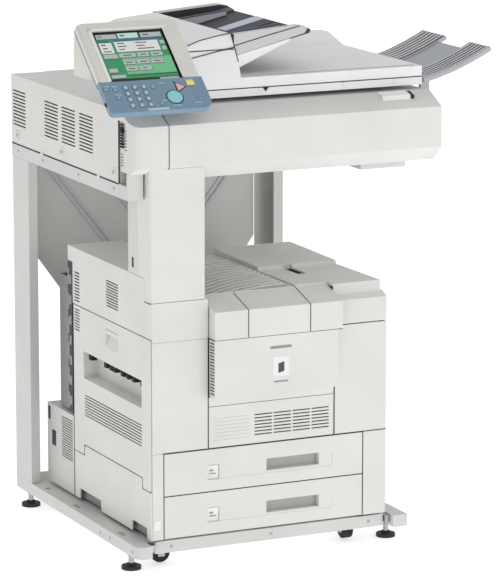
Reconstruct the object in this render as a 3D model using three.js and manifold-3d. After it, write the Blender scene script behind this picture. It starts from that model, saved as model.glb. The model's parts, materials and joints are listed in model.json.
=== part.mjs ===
// Office photocopier on a wheeled rack: laser engine with two paper drawers, bridge scanner,
// document feeder and tilting operation panel. Millimetres, +Z up, front of the machine towards -Y.
// Design coordinates: X from the engine's left side, Y back from the drawer fronts, Z up from the
// floor. The whole group is shifted at the end so that the origin is the bottom centre of its box.
import * as THREE from "three";
import { mergeVertices } from "three/addons/utils/BufferGeometryUtils.js";
import Module from "manifold-3d";

// Driving dimensions.
const CLEAR = 0.5; // gap between neighbouring pieces
const SEAM = 1.4; // visible seam between covers
const WALL = 3; // moulded cover and sheet thickness

const ENGINE_W = 638;
const ENGINE_BOTTOM = 85.4;
const ENGINE_TOP = 728.6;
const ENGINE_BACK = 600;
const SIDE_BACK = 480; // rear end of the left side covers
const CHASSIS_INSET = 12.5;
const CHASSIS_FRONT = 36;

const STAND_LEFT = -45;
const STAND_RIGHT = 695;
const STAND_FRONT = 15;
const STAND_BACK = 768;
const DECK_BOTTOM = 47.2;
const DECK_TOP = 77.4;
const SHEET = 3.4;
const POST_DEPTH = 106;
const POST_W = 24;
const RAIL_BOTTOM = 921.7;
const BRIDGE_BOTTOM = 955.7;

const DRAWER_LEFT = 34.8;
const DRAWER_RIGHT = 573.7;
const DRAWER_FLOORS = [86.4, 193.1];
const DRAWER_H = 106;
const DRAWER_DEPTH = 430;
const DRAWER_FRONT_T = 22;

const SCANNER_LEFT = 50.8;
const SCANNER_RIGHT = 785;
const SCANNER_FRONT = -3;
const SCANNER_BACK = 782;
const SCANNER_TOP = 1132;
const GLASS = { x: [215, 655], y: [160, 470], t: 3.4 };

const LID_LEFT = 155;
const LID_RIGHT = 783;
const LID_FRONT = 95;
const LID_BACK = 690;
const LID_BOTTOM = 1143;
const LID_TOP = 1189;
const HEAD_RIGHT = 285;
const TRAY_RIGHT = 478;

const PANEL_LEFT = -117;
const PANEL_W = 265;
const PANEL_L = 288;
const PANEL_EDGE = { y: -48, z: 1147 };
const PANEL_SLOPE = THREE.MathUtils.degToRad(40.2);

const FOOT_R = 24.5;
const WHEEL_R = 25;

const wasm = await Module();
wasm.setup();

// ---------- solids ----------

function solid(geometry) {
  const bare = geometry.clone();
  bare.deleteAttribute("normal");
  bare.deleteAttribute("uv");
  const merged = mergeVertices(bare, 1e-4);
  return new wasm.Manifold(
    new wasm.Mesh({
      numProp: 3,
      vertProperties: merged.attributes.position.array,
      triVerts: new Uint32Array(merged.index.array),
    }),
  );
}

function block([x0, x1], [y0, y1], [z0, z1]) {
  const box = new THREE.BoxGeometry(x1 - x0, y1 - y0, z1 - z0);
  return solid(box.translate((x0 + x1) / 2, (y0 + y1) / 2, (z0 + z1) / 2));
}

// Turns a section drawn in local XY and extruded along local Z so that it runs along an axis.
const AXES = {
  x: new THREE.Matrix4().makeBasis(
    new THREE.Vector3(0, 1, 0), new THREE.Vector3(0, 0, 1), new THREE.Vector3(1, 0, 0)),
  y: new THREE.Matrix4().makeBasis(
    new THREE.Vector3(0, 0, 1), new THREE.Vector3(1, 0, 0), new THREE.Vector3(0, 1, 0)),
  z: new THREE.Matrix4(),
};

// A section extruded along an axis. Section points are (y, z) for x, (z, x) for y and (x, y) for z.
function prism(axis, points, [from, to]) {
  const shape = new THREE.Shape(points.map(([a, b]) => new THREE.Vector2(a, b)));
  const bar = new THREE.ExtrudeGeometry(shape, { depth: to - from, bevelEnabled: false });
  return solid(bar.translate(0, 0, from).applyMatrix4(AXES[axis]));
}

// The same with the section given as (x, z), for pieces that run front to back.
const prismY = (points, span) => prism("y", points.map(([x, z]) => [z, x]), span);

// A rod along an axis, through the point [a, b] of its section plane.
function rod(axis, [a, b], radius, [from, to], sides = 20) {
  const bar = new THREE.CylinderGeometry(radius, radius, to - from, sides);
  bar.rotateX(Math.PI / 2).translate(a, b, (from + to) / 2).applyMatrix4(AXES[axis]);
  return solid(bar);
}

// The rod's section plane for y is (z, x); this takes (x, z).
const rodY = ([x, z], radius, span, sides) => rod("y", [z, x], radius, span, sides);

const join = (...parts) => parts.reduce((a, b) => a.add(b));
const cut = (body, ...tools) => tools.reduce((a, b) => a.subtract(b), body);

// A rectangle with rounded corners, as section points; radii run from the low-low corner round.
function roundedRectangle([a0, a1], [b0, b1], radii, steps = 5) {
  const corners = [[a0, b0, 1, 1], [a1, b0, -1, 1], [a1, b1, -1, -1], [a0, b1, 1, -1]];
  return corners.flatMap(([a, b, sa, sb], i) => {
    const r = radii[i];
    if (!r) return [[a, b]];
    const start = Math.PI + (i * Math.PI) / 2;
    return Array.from({ length: steps + 1 }, (_, k) => {
      const t = start + (k / steps) * (Math.PI / 2);
      return [a + sa * r + r * Math.cos(t), b + sb * r + r * Math.sin(t)];
    });
  });
}

// A column of louvre slots cut through a wall: the span across the wall, the slot's length
// span, and the heights between which the slots are spread.
function louvres(through, along, [low, high], count, height, axis = "x") {
  const pitch = (high - low - height) / (count - 1);
  return join(...Array.from({ length: count }, (_, i) => {
    const z = [low + i * pitch, low + i * pitch + height];
    return axis === "x" ? block(through, along, z) : block(along, through, z);
  }));
}

// ---------- the group ----------

const copier = new THREE.Group();

const paint = (color, roughness, metalness = 0) =>
  new THREE.MeshStandardMaterial({ color, roughness, metalness });
const COLOURS = {
  plastic: ["#dedcd9", 0.6],
  metal: ["#d4d5d2", 0.5, 0.2],
  panelGrey: ["#cdcbc6", 0.6],
  blue: ["#6288a0", 0.5],
  dark: ["#3c3e44", 0.6],
  trayGrey: ["#969a9e", 0.6],
  black: ["#1e1e1e", 0.8],
  steel: ["#b0b2b4", 0.35, 0.9],
  glass: ["#a8b4b8", 0.1],
  teal: ["#96d7d7", 0.4],
  pink: ["#f0b9b4", 0.4],
  yellow: ["#f5e18c", 0.4],
};

function piece(name, manifold, finish, parent = copier) {
  const { vertProperties, triVerts } = manifold.getMesh();
  const geometry = new THREE.BufferGeometry();
  geometry.setAttribute("position", new THREE.BufferAttribute(vertProperties, 3));
  geometry.setIndex(new THREE.BufferAttribute(triVerts, 1));
  const flat = geometry.toNonIndexed();
  flat.computeVertexNormals();
  const mesh = new THREE.Mesh(flat, paint(...COLOURS[finish]));
  mesh.name = name;
  parent.add(mesh);
  return mesh;
}

// ---------- rack ----------

function rack() {
  // Plan of the deck: two side rails run out past the front rail, each behind an open notch.
  const notch = 32;
  const railEnd = (x, y) => roundedRectangle(x, [y, STAND_BACK - 1], [22, 0, 0, 0]);
  const deck = join(
    prism("z", [[18, STAND_FRONT], [640, STAND_FRONT], [640, notch], [STAND_RIGHT, notch],
      [STAND_RIGHT, STAND_BACK], [STAND_LEFT, STAND_BACK], [STAND_LEFT, notch], [18, notch]],
    [DECK_BOTTOM, DECK_TOP]),
    prism("z", railEnd([STAND_LEFT, -5], -20), [DECK_BOTTOM, DECK_TOP]),
    block([655, STAND_RIGHT], [-12, notch + 1], [DECK_BOTTOM, DECK_TOP]));
  const hollow = block(
    [STAND_LEFT + SHEET, STAND_RIGHT - SHEET],
    [STAND_FRONT + SHEET + 22, STAND_BACK - SHEET],
    [DECK_BOTTOM - 1, DECK_TOP - SHEET]);
  piece("base_frame", cut(deck, hollow), "metal");

  const backY = [STAND_BACK - WALL, STAND_BACK];
  const channel = (outer, inner, lipEnd, front, z) => join(
    block([Math.min(outer, inner), Math.max(outer, inner)], [front, front + WALL], z),
    outer < inner
      ? block([outer, outer + WALL], [front, STAND_BACK], z)
      : block([outer - WALL, outer], [front, STAND_BACK], z),
    block([Math.min(outer, lipEnd), Math.max(outer, lipEnd)], backY, z));
  const postZ = [DECK_TOP + CLEAR, RAIL_BOTTOM - CLEAR];
  piece("rear_left_post",
    channel(STAND_LEFT, STAND_LEFT + POST_W, 10, STAND_BACK - POST_DEPTH, postZ), "metal");
  piece("rear_right_post",
    channel(STAND_RIGHT, STAND_RIGHT - 27, 640, 705, [postZ[0], BRIDGE_BOTTOM - 16]), "metal");

  const railZ = [RAIL_BOTTOM, BRIDGE_BOTTOM - CLEAR];
  const rail = cut(
    block([STAND_LEFT, STAND_LEFT + 40], [31, STAND_BACK + 4], railZ),
    block([STAND_LEFT + WALL, STAND_LEFT + 41], [31 + WALL, STAND_BACK + 1],
      [railZ[0] + WALL, railZ[1] - WALL]));
  const endCap = join(block([STAND_LEFT, -5], [26, 31 + WALL], [922, 984]),
    block([-12, -8], [26, 60], [958, 984]));
  piece("left_top_rail", join(rail, endCap), "metal");
  piece("right_top_rail",
    cut(block([612, 736], [95, STAND_BACK + 4], [940, 964]),
      block([612 + WALL, 736 - WALL], [95 + WALL, STAND_BACK + 5], [939, 961])), "metal");

  // Back sheet with its lower edge cut away towards both posts.
  const [low, high] = [330, BRIDGE_BOTTOM - 40];
  const sheet = prismY([[12, high], [12, low + 330], [250, low], [400, low], [638, low + 330],
    [638, high]], [STAND_BACK - 2.5, STAND_BACK - 0.5]);
  const crossRail = block([12, 610], [STAND_BACK - 40, STAND_BACK - 0.5],
    [high - 1, BRIDGE_BOTTOM - CLEAR]);
  piece("back_panel", join(sheet, crossRail), "metal");

  const rounded = (x, y, z) => prism("z", roundedRectangle(x, y, [7, 3, 0, 0], 4), z);
  piece("column_cover", join(
    cut(block([0, 60], [70, 130], [ENGINE_TOP + SEAM, BRIDGE_BOTTOM - CLEAR]),
      block([WALL, 61], [69, 130 - WALL], [ENGINE_TOP, BRIDGE_BOTTOM])),
    cut(rounded([0, 145], [0, 72], [ENGINE_TOP + SEAM, 999]),
      block([WALL, 142], [WALL, 73], [ENGINE_TOP, 1000]),
      prism("x", [[-1, 997], [26, 964.6], [80, 964.6], [80, 1000], [-1, 1000]], [48, 146]),
      prism("x", [[-1, 999], [13, 985.4], [80, 985.4], [80, 1000], [-1, 1000]], [-1, 49])),
    cut(rounded([0, 145], [0, 34], [673.2, ENGINE_TOP + 6]),
      block([WALL, 142], [WALL, 35], [673, ENGINE_TOP + 7]))), "plastic");
}

function levellingFoot(name, x, y) {
  piece(name, join(
    rod("z", [x, y], FOOT_R, [0, 9], 28),
    rod("z", [x, y], 11, [8, 15], 16),
    rod("z", [x, y], 5, [6, DECK_TOP - SHEET - CLEAR], 14),
    rod("z", [x, y], 10, [34, 42], 6)), "black");
}

function caster(name, pivot, direction) {
  const trail = 18;
  const centre = new THREE.Vector2(...pivot).addScaledVector(direction, trail);
  const sideways = Math.abs(direction.x) > 0.5; // wheel trails along X, axle along Y
  const [a, b] = sideways ? [centre.x, centre.y] : [centre.y, centre.x];
  const around = (half, along) =>
    sideways ? [[a - half, a + half], along] : [along, [a - half, a + half]];
  const wheelZ = 30;
  const cheek = (side) => block(
    ...around(9, [b + side * 14.5 - 1.3, b + side * 14.5 + 1.3]), [wheelZ - 9, 70.5]);
  const axle = (r, span, sides) => sideways
    ? rodY([a, wheelZ], r, span, sides) : rod("x", [a, wheelZ], r, span, sides);
  const plateTop = DECK_TOP - SHEET - CLEAR;
  const plate = block(
    ...around(18, [b - 15.8, b + 15.8]), [69.5, plateTop]);
  const swivel = rod("z", pivot, 16, [69.5, plateTop]);
  piece(`${name}_fork`,
    join(plate, swivel, cheek(-1), cheek(1), axle(3, [b - 15.8, b + 15.8], 12)), "steel");
  piece(`${name}_wheel`,
    cut(axle(WHEEL_R, [b - 11, b + 11], 28), axle(3.6, [b - 12, b + 12], 12)), "black");
}

function runningGear() {
  for (const [side, x] of [["left", -20], ["right", 680]]) {
    levellingFoot(`foot_front_${side}`, x, 76);
    levellingFoot(`foot_rear_${side}`, x, 732);
  }
  const [along, back] = [new THREE.Vector2(-1, 0), new THREE.Vector2(0, -1)];
  caster("caster_front_left", [78, 90], along);
  caster("caster_front_right", [572, 108], back);
  caster("caster_rear_left", [78, 690], along);
  caster("caster_rear_right", [572, 690], along);
}

// ---------- engine ----------

// Folded sheet frame: an open tub over the drawer bay, with a process bay behind the front door.
function engineChassis() {
  const [left, right] = [CHASSIS_INSET, ENGINE_W - CHASSIS_INSET];
  const [floorZ, topZ] = [294, 640];
  const inner = [left + WALL, right - WALL];
  const innerY = [CHASSIS_FRONT + WALL, ENGINE_BACK - WALL];
  const tub = cut(block([left, right], [CHASSIS_FRONT, ENGINE_BACK], [floorZ, topZ]),
    block(inner, innerY, [floorZ + 9.4, topZ + 1]));
  const lower = block([left, right], [CHASSIS_FRONT, SIDE_BACK], [ENGINE_BOTTOM, floorZ + 6]);
  const bay = { x: [160, 484], y: [CHASSIS_FRONT, 430], z: [306, 571] };
  const bayWalls = cut(
    block([bay.x[0] - WALL, bay.x[1] + WALL], [bay.y[0] + 1, bay.y[1] + WALL],
      [floorZ + 9, bay.z[1] + WALL]),
    block(bay.x, bay.y, bay.z));
  const drawerBay = block([DRAWER_LEFT, DRAWER_RIGHT], [CHASSIS_FRONT - 1, SIDE_BACK - WALL],
    [ENGINE_BOTTOM - 1, floorZ + 5.4]);
  const sideHollow = (x) => block(x, [innerY[0], SIDE_BACK - WALL], [ENGINE_BOTTOM - 1, floorZ + 2]);
  const doorRecess = block([left - 1, left + WALL + 1], [46, 424], [396, 486]);
  piece("engine_chassis", cut(join(tub, lower, bayWalls), drawerBay,
    sideHollow([inner[0], DRAWER_LEFT - WALL]), sideHollow([DRAWER_RIGHT + WALL, inner[1]]),
    block(bay.x, [CHASSIS_FRONT - 1, bay.y[1]], bay.z), doorRecess), "metal");
}

function leftCovers() {
  const skin = [0, WALL + 1];
  const upperZ = [584.1 + SEAM / 2, ENGINE_TOP];
  const upper = join(
    block(skin, [0, 514], [upperZ[0], 673.2 - SEAM]),
    block(skin, [34 + SEAM, 514], [upperZ[0], upperZ[1]]),
    block([0, 148], [34 + SEAM, 514], [ENGINE_TOP - WALL - 1, ENGINE_TOP]),
    block([0, 148], [510, 514], [644, ENGINE_TOP]));
  piece("left_upper_cover", cut(upper,
    louvres([-1, 10], [439, 474], [593, 669], 10, 4.2),
    louvres([-1, 10], [194, 270], [618, 684], 10, 3.8)), "plastic");

  // Jam door: its lower edge is stepped down at both ends.
  const door = prism("x", [[4, 206.8], [48, 206.8], [52, 233.4], [413, 233.4], [417, 206.8],
    [SIDE_BACK - 1, 206.8], [SIDE_BACK - 1, 584.1 - SEAM / 2], [4, 584.1 - SEAM / 2]], skin);
  const recess = { y: [54, 416], z: [405, 474], depth: 40 };
  const grip = { y: [196, 273], z: [513, 548], depth: 9 };
  const pocket = (y, z, depth) => block([WALL, depth + 2], [y[0] - WALL, y[1] + WALL],
    [z[0] - WALL, z[1] + WALL]);
  const hole = (y, z, depth) => block([-1, depth], y, z);
  piece("left_door", cut(
    join(door, pocket(recess.y, recess.z, recess.depth), pocket(grip.y, grip.z, grip.depth)),
    hole(recess.y, recess.z, recess.depth),
    prismY([[-1, grip.z[1]], [grip.depth, grip.z[1]], [grip.depth, grip.z[1] - 6],
      [0, grip.z[0]], [-1, grip.z[0]]], grip.y),
    hole(grip.y, [558, 560.4], 3),
    louvres([-1, 10], [440, 475], [519, 574], 8, 3.8),
    louvres([-1, 10], [54, 411], [309, 364], 8, 3.6)), "plastic");

  const lower = prism("x", [[0, ENGINE_BOTTOM], [24, ENGINE_BOTTOM], [26, 112], [115, 112],
    [117, ENGINE_BOTTOM], [309, ENGINE_BOTTOM], [311, 112], [445, 112], [447, ENGINE_BOTTOM],
    [SIDE_BACK - 1, ENGINE_BOTTOM], [SIDE_BACK - 1, 205.4], [415, 205.4], [411, 232],
    [54, 232], [50, 205.4], [0, 205.4]], skin);
  piece("left_lower_cover", lower, "plastic");
}

function frontCovers() {
  const y = [0, WALL + 1];
  const groove = (x, z) => block(x, [-1, 2], [z - SEAM / 2, z + SEAM / 2]);
  piece("front_left_cover", cut(join(
    block([4.6, DRAWER_LEFT - SEAM], y, [ENGINE_BOTTOM, 302]),
    block([DRAWER_LEFT - SEAM - 4, DRAWER_LEFT - SEAM], [0, 34], [ENGINE_BOTTOM, 299.4]),
    block([4.6, 152.3], y, [300.8, 671.8]),
    block([152, 494], y, [404.8, 428])),
  groove([0, DRAWER_LEFT], 300.1), groove([0, 153], 575.1)), "plastic");
  piece("right_cover", cut(join(
    block([DRAWER_RIGHT + SEAM, ENGINE_W], y, [ENGINE_BOTTOM, 302]),
    block([495.8, ENGINE_W], y, [300.8, 574.2]),
    block([ENGINE_W - 4, ENGINE_W], [0, SIDE_BACK], [ENGINE_BOTTOM, 574.2]),
    block([ENGINE_W - 4, ENGINE_W], [24, ENGINE_BACK], [294, 633])),
  groove([DRAWER_RIGHT, ENGINE_W + 1], 300.1)), "plastic");
}

function frontDoor() {
  const [x0, x1, front, low, high] = [155.2, 487.2, -35, 431, 573.8];
  const shell = cut(
    block([x0, x1], [front, -0.8], [low, high]),
    block([x0 + WALL, x1 - WALL], [front + WALL, 0], [low + WALL, high - WALL]));
  const vents = louvres([x0 - 1, x0 + 10], [-30, -3], [438, 567], 17, 4);
  piece("front_door", cut(shell, vents), "plastic");
}

function bypassTray() {
  const [x0, x1, low, high] = [154, 493, 301.4, 403.4];
  const slots = [];
  const area = { x: [277, 484], z: [321, 374] };
  const columns = 4;
  const width = (area.x[1] - area.x[0]) / columns;
  for (let c = 0; c < columns; c++) {
    const x = [area.x[0] + c * width, area.x[0] + (c + 1) * width - 4];
    slots.push(louvres([-1, 10], x, area.z, 7, 3.2, "y"));
  }
  piece("bypass_tray", cut(block([x0, x1], [0, WALL + 2], [low, high]), ...slots), "plastic");
}

function drawer(name, floor) {
  const z = [floor, floor + DRAWER_H - SEAM];
  const band = { x: [150.5, 491], z: [z[0] + 28.5, z[0] + 65.5] };
  const front = cut(
    block([DRAWER_LEFT + SEAM / 2, DRAWER_RIGHT - SEAM / 2], [0, DRAWER_FRONT_T], z),
    block(band.x, [-1, 1.2], band.z),
    block([310, 454], [-1, DRAWER_FRONT_T - WALL], [z[0] + 35, band.z[1]]),
    block([band.x[0], band.x[0] + 32], [-1, 6], band.z));
  const [x0, x1] = [DRAWER_LEFT + 14, DRAWER_RIGHT - 14];
  const box = cut(
    block([x0, x1], [DRAWER_FRONT_T - 1, DRAWER_DEPTH], [z[0] + 3, z[0] + 72]),
    block([x0 + WALL, x1 - WALL], [DRAWER_FRONT_T + WALL, DRAWER_DEPTH - WALL],
      [z[0] + 6, z[0] + 80]));
  piece(name, join(front, box), "plastic");
}

function topCovers() {
  const [seamA, seamB, right] = [244.2, 411.2, 500];
  const section = [[-35, 575.2], [-35, 644], [52, 669.6], [52, 665.8], [-31.5, 641.4],
    [-31.5, 575.2]];
  const [capL, capR] = [155.2, right - SEAM / 2];
  const leftEnd = prism("x", [[-35, 575.2], [-35, 644], [52, 669.6], [52, 642], [34, 642],
    [34, 575.2]], [capL, capL + WALL]);
  const scored = (x) => prism("x", [[-36, 574], [-36, 644.6], [53, 671], [53, 668], [-33.5, 642.6],
    [-33.5, 574]], [x - SEAM / 2, x + SEAM / 2]);
  piece("front_top_cap", cut(join(prism("x", section, [capL, capR]), leftEnd),
    scored(seamA), scored(seamB)), "plastic");

  // Output bin: the floor falls away to the left in a gentle curve.
  const drop = 46;
  const steps = 10;
  const [binL, binR] = [150, seamB - SEAM / 2];
  const floorAt = (t) => 669 - drop * t ** 2.2;
  const curve = Array.from({ length: steps + 1 }, (_, i) => {
    const t = i / steps;
    return [binR - 8 - t * (binR - 16 - binL), floorAt(t)];
  });
  const blank = block([binL, binR], [52.8, 530], [618, 669.6]);
  const bin = prismY([...curve, [curve.at(-1)[0], 700], [curve[0][0], 700]], [58, 428]);
  const under = prismY([...curve.map(([x, z]) => [x, z - 4]), [binL + 4, 600], [binR - 8, 600]],
    [58, 428]);
  piece("output_bin_cover",
    cut(blank, bin, under, block([binL + 4, binR - 4], [432, 526], [600, 665.6])), "plastic");

  const [frontZ, rearZ] = [675, 681];
  const rightTop = prism("x", [[52.8, 636.6], [52.8, frontZ], [262, frontZ - 3], [266, rearZ],
    [530, rearZ + 2], [530, 636.6]], [seamB + SEAM / 2, right]);
  const rightWide = prism("x", [[0, 577], [0, 637], [21, 648], [21, frontZ], [262, frontZ - 3],
    [266, rearZ], [530, rearZ + 2], [530, 641.4], [32, 641.4], [32, 634], [4, 634], [4, 577]],
  [right + SEAM / 2, 630]);
  const ledge = prism("x", [[0, 577], [0, 637], [21, 648], [40, 648], [40, 641.4], [32, 641.4],
    [32, 634], [4, 634], [4, 577]], [629, ENGINE_W]);
  const cavity = block([seamB + 5, 626], [60, 526], [630, 668]);
  piece("top_right_cover",
    cut(join(rightTop, rightWide, block([right - 1, right + SEAM], [52.8, 530], [641.4, 671]),
      ledge), cavity, block([482, 506], [180, 268], [660, 700])),
    "plastic");
}

function controllerBox() {
  const body = cut(
    block([0, 300], [484, 660], [ENGINE_BOTTOM, 292]),
    block([WALL, 297], [487, 661], [ENGINE_BOTTOM + WALL, 289]),
    louvres([-1, 10], [492, 566], [170, 276], 17, 3.2));
  const power = cut(
    block([299, ENGINE_W], [484, 640], [ENGINE_BOTTOM, 292]),
    block([303, ENGINE_W - 3], [487, 641], [ENGINE_BOTTOM + WALL, 289]));
  piece("rear_controller_box", join(body, power), "metal");
}

function engineInternals() {
  const drum = { y: 110, z: 430 };
  piece("toner_cartridge", join(
    block([172, 472], [52, 96], [470, 545]),
    block([172, 472], [52, 160], [490, 545]),
    block([290, 350], [42, 53], [495, 520])), "black");
  piece("photo_drum", rod("x", [drum.y, drum.z], 24, [176, 468], 24), "teal");
  piece("fuser_roller", rod("x", [320, 400], 20, [176, 468], 20), "steel");
  DRAWER_FLOORS.forEach((floor, i) => {
    const name = i ? "upper" : "lower";
    piece(`pickup_roller_${name}`, rod("x", [SIDE_BACK - 30, floor + 88], 12, [240, 370], 16),
      "black");
  });
}

// ---------- scanner ----------

// Front section of the scanner: vertical face, bevel above, chin below.
const SCANNER_SECTION = [[SCANNER_FRONT, 1001], [27, 965.5], [SCANNER_BACK, 965.5],
  [SCANNER_BACK, SCANNER_TOP], [60, SCANNER_TOP], [SCANNER_FRONT, 1101]];

function scanner() {
  const shellTop = SCANNER_TOP - 12;
  const chamfer = prismY([[779, 960], [786, 1004.7], [800, 1004.7], [800, 960]], [-10, 790]);
  const body = cut(prism("x", SCANNER_SECTION, [SCANNER_LEFT, SCANNER_RIGHT]),
    chamfer,
    prism("x", [[3, 1002], [29, 971.5], [SCANNER_BACK - 8, 971.5], [SCANNER_BACK - 8, shellTop],
      [59, shellTop], [3, 1098]], [SCANNER_LEFT + 10, SCANNER_RIGHT - 12]),
    block([GLASS.x[0] + 12, GLASS.x[1] - 12], [GLASS.y[0] + 12, GLASS.y[1] - 12],
      [shellTop - 1, SCANNER_TOP + 1]),
    block([GLASS.x[0] - CLEAR, GLASS.x[1] + CLEAR], [GLASS.y[0] - CLEAR, GLASS.y[1] + CLEAR],
      [SCANNER_TOP - GLASS.t - CLEAR, SCANNER_TOP + 1]));
  piece("scanner_housing", body, "plastic");
  piece("platen_glass", block(GLASS.x, GLASS.y, [SCANNER_TOP - GLASS.t, SCANNER_TOP]), "glass");
  piece("scan_carriage", block([240, 290], [120, 510], [1076, 1106]), "dark");

  const box = cut(
    block([STAND_LEFT, 50], [80.8, 772], [BRIDGE_BOTTOM, SCANNER_TOP]),
    block([STAND_LEFT + WALL, 50 - WALL], [83.8, 769], [BRIDGE_BOTTOM + WALL, 1129]),
    ...[[676, 763], [460, 549], [350, 437.5], [238, 325]].map((span) =>
      louvres([STAND_LEFT - 1, STAND_LEFT + 10], span, [1003.7, 1094.3], 11, 4)));
  piece("side_controller_box", box, "plastic");

  const section = [[SCANNER_FRONT, 1001], [14, 986], [80, 986], [80, SCANNER_TOP],
    [60, SCANNER_TOP], [SCANNER_FRONT, 1101]];
  const plan = roundedRectangle([-47, 50 - CLEAR], [SCANNER_FRONT, 80], [28, 0, 0, 0], 6);
  const corner = prism("x", section, [-47, 50 - CLEAR])
    .intersect(prism("z", plan, [980, SCANNER_TOP + 1]));
  piece("scanner_corner_cover", cut(corner,
    block([-48, -41], [26, 81], [980, 1110]),
    block([-37, 46], [30, 81], [980, 1100]),
    louvres([-42, -30], [34, 52], [1040, 1090], 7, 3.2),
    louvres([-42, -30], [60, 76], [1000, 1030], 5, 3.2)), "plastic");
}

// ---------- document feeder ----------

// Convex front of the feeder head, from the lid's front edge up and back.
const HEAD_FRONT = [[LID_FRONT, LID_TOP - 4], [100, 1205], [109, 1222], [121, 1240],
  [136, 1262], [150, 1284], [156, 1290]];

function feeder() {
  // Lower body: flat lid, the head's lower part and the raised rear ridge.
  const lid = prism("z", roundedRectangle([LID_LEFT, LID_RIGHT], [LID_FRONT, LID_BACK],
    [14, 6, 14, 20], 4), [LID_BOTTOM, LID_TOP]);
  const seamY = 136;
  const headLow = prism("x", [[LID_FRONT, LID_TOP - 4], ...HEAD_FRONT.slice(1, 4),
    [seamY - 6, 1253], [640, 1253], [640, LID_TOP - 4]], [LID_LEFT, HEAD_RIGHT]);
  const ridge = prism("x", [[525, LID_TOP - 2], [617, 1213], [660, 1213], [678, LID_TOP - 2]],
    [HEAD_RIGHT - 1, LID_RIGHT]);
  const throat = block([205, HEAD_RIGHT + 1], [170, 600], [1196, 1254]);
  const inside = join(
    block([LID_LEFT + 20, LID_RIGHT - 6], [LID_FRONT + 12, LID_BACK - 16],
      [LID_BOTTOM + 5, LID_TOP - 5]),
    block([215, HEAD_RIGHT - 5], [190, 580], [LID_TOP - 6, 1197]));
  piece("feeder_lid", cut(join(lid, headLow, ridge), throat, inside), "plastic");

  // Top cover: rises towards the tray, hinged along the head's left end.
  const coverTop = prism("x", [[seamY - 2, 1256], ...HEAD_FRONT.slice(4), [600, 1291], [640, 1276],
    [640, 1256]], [LID_LEFT, HEAD_RIGHT]);
  const slope = prismY([[LID_LEFT - 1, 1263], [LID_LEFT + 35, 1276], [HEAD_RIGHT - 8, 1291],
    [HEAD_RIGHT - 8, 1320], [LID_LEFT - 1, 1320]], [0, 700]);
  piece("feeder_top_cover", cut(coverTop, slope,
    block([222, HEAD_RIGHT + 1], [172, 596], [1250, 1272])), "plastic");

  // Input tray: a shallow trough that rises to the right, with tapering side walls.
  const [tl, tr] = [HEAD_RIGHT + SEAM, TRAY_RIGHT];
  const wall = (y) => prismY([[tl, 1234], [tr + 14, 1282], [tr + 17, 1290], [tr, 1300],
    [tr - 20, 1303], [tl, 1290]], y);
  const floor = prismY([[tl, 1241], [tr, 1286], [tr, 1292], [tl, 1247]], [140, 600]);
  piece("input_tray", join(floor, wall([140, 152]), wall([588, 626])), "dark");
  const guide = (y) => prismY([[tl + 14, 1252], [tr - 34, 1285.5], [tr - 34, 1297],
    [tl + 14, 1281]], y);
  piece("paper_guide_front", guide([214, 222]), "panelGrey");
  piece("paper_guide_rear", guide([520, 528]), "panelGrey");

  piece("feeder_roller", rodY([258, 1226], 14, [330, 410], 18), "black");

  const pin = [LID_BACK + 24, 1156];
  const knuckle = (x) => join(
    block([x - 24, x + 24], [LID_BACK + 4, LID_BACK + 44], [SCANNER_TOP + CLEAR, SCANNER_TOP + 12]),
    block([x - 24, x + 24], [LID_BACK + 16, LID_BACK + 32], [SCANNER_TOP + 10, pin[1]]),
    rod("x", pin, 10, [x - 24, x + 24], 16));
  piece("feeder_hinge", join(knuckle(230), knuckle(720), rod("x", pin, 4, [230, 720], 12)), "dark");

  // Exit tray: ribbed, rising in a shallow curve to the right of the lid.
  const run = [[0, 0], [40, 10], [85, 24], [130, 42], [165, 58], [188, 70]];
  const [x0, z0] = [LID_RIGHT + 4, 1146];
  const top = run.map(([x, z]) => [x0 + x, z0 + 9 + z]);
  const bottom = run.map(([x, z]) => [x0 + x + 3, z0 + z]).reverse();
  const slab = prismY([...top, ...bottom], [LID_FRONT + 2, 450]);
  const valley = prismY([...run.map(([x, z]) => [x0 + x - 6, z0 + 14 + z]),
    ...run.map(([x, z]) => [x0 + x - 1, z0 + 4 + z]).reverse()], [205, 330]);
  const notch = block([x0 + 168, x0 + 200], [205, 330], [1190, 1300]);
  const ears = join(
    block([x0 - 1, x0 + 24], [112, 122], [1120, 1160]),
    block([x0 - 1, x0 + 24], [420, 430], [1120, 1160]));
  piece("exit_tray", join(cut(slab, valley, notch), ears), "trayGrey");
}

// ---------- operation panel ----------

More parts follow.
